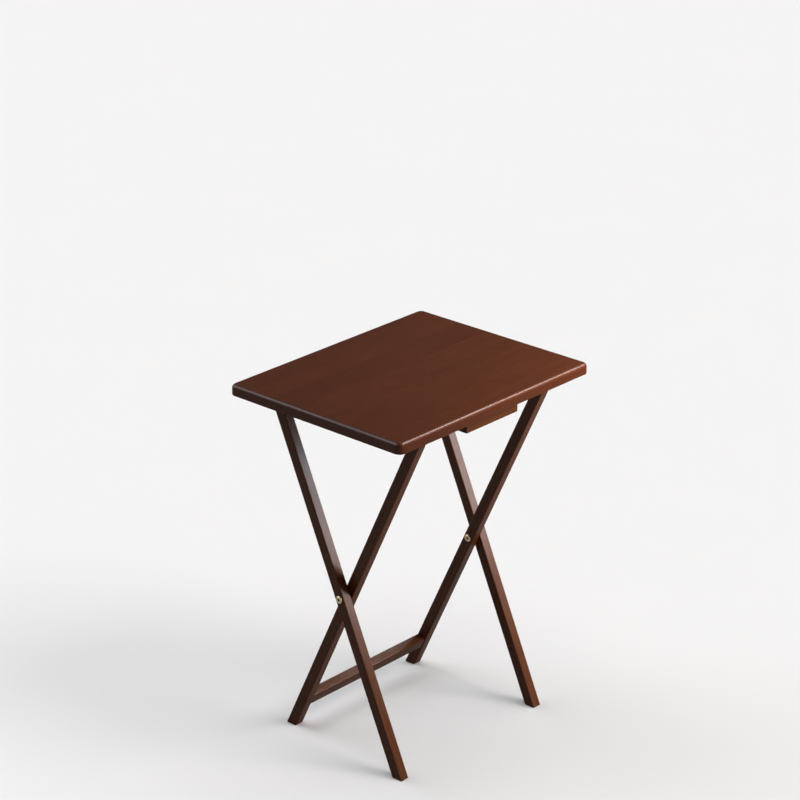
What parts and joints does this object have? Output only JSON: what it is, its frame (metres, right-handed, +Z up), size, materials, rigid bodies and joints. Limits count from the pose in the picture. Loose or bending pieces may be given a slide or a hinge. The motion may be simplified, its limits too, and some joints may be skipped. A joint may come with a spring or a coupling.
{
  "type": "folding tray table",
  "caption": "Folding tray table: a flat rounded wooden top hinged to crossed wooden leg frames that close like scissors.",
  "frame": {"origin": "on the floor, under the middle of the top", "axes": "+Z up, +X to the right along the front edge, -Y towards the front (the side with the catch block)"},
  "size_m": [0.484, 0.391, 0.6615],
  "materials": {
    "top_wood": "satin lacquer over dark walnut stain",
    "frame_wood": "satin lacquer over dark walnut stain",
    "dowel_wood": "plain beech",
    "brass_plate": "pale brass plating",
    "zinc_steel": "zinc plating"
  },
  "bodies": {
    "hinge_pins": {"hinge_bolt_left": "brass_plate", "hinge_bolt_right": "brass_plate", "hinge_nut_left": "zinc_steel", "hinge_nut_right": "zinc_steel", "hinge_washer_left": "zinc_steel", "hinge_washer_right": "zinc_steel"},
    "outer_frame": {"outer_leg_left": "frame_wood", "outer_leg_right": "frame_wood", "pivot_bolt_left": "brass_plate", "pivot_bolt_right": "brass_plate", "pivot_nut_left": "brass_plate", "pivot_nut_right": "brass_plate", "pivot_washer_left": "zinc_steel", "pivot_washer_right": "zinc_steel"},
    "inner_frame": {"inner_leg_left": "frame_wood", "inner_leg_right": "frame_wood", "top_rail": "frame_wood", "bottom_stretcher": "frame_wood", "stretcher_pin_left_lower": "dowel_wood", "stretcher_pin_left_upper": "dowel_wood", "stretcher_pin_right_lower": "dowel_wood", "stretcher_pin_right_upper": "dowel_wood"},
    "tray": {"tray_top": "top_wood", "hinge_cleat_left": "frame_wood", "hinge_cleat_right": "frame_wood", "cleat_screw_left_front": "zinc_steel", "cleat_screw_left_back": "zinc_steel", "cleat_screw_right_front": "zinc_steel", "cleat_screw_right_back": "zinc_steel", "catch_block": "frame_wood", "catch_screw_left": "zinc_steel", "catch_screw_right": "zinc_steel"}
  },
  "joints": [
    {"name": "frame_follow", "type": "hinge", "parent": "hinge_pins", "child": "outer_frame", "pos_m": [0, 0.1398, 0.63], "axis": [1, 0, 0], "range_deg": [0, 24.5]},
    {"name": "leg_fold", "type": "hinge", "parent": "outer_frame", "child": "inner_frame", "pos_m": [0, -0.00371, 0.301], "axis": [-1, 0, 0], "range_deg": [0, 48.9]},
    {"name": "tray_lift", "type": "hinge", "parent": "hinge_pins", "child": "tray", "pos_m": [0, 0.1398, 0.63], "axis": [-1, 0, 0], "range_deg": [0, 90]}
  ],
  "couplings": [
    {"joint": "frame_follow", "follows": "leg_fold", "ratio": 0.5}
  ]
}
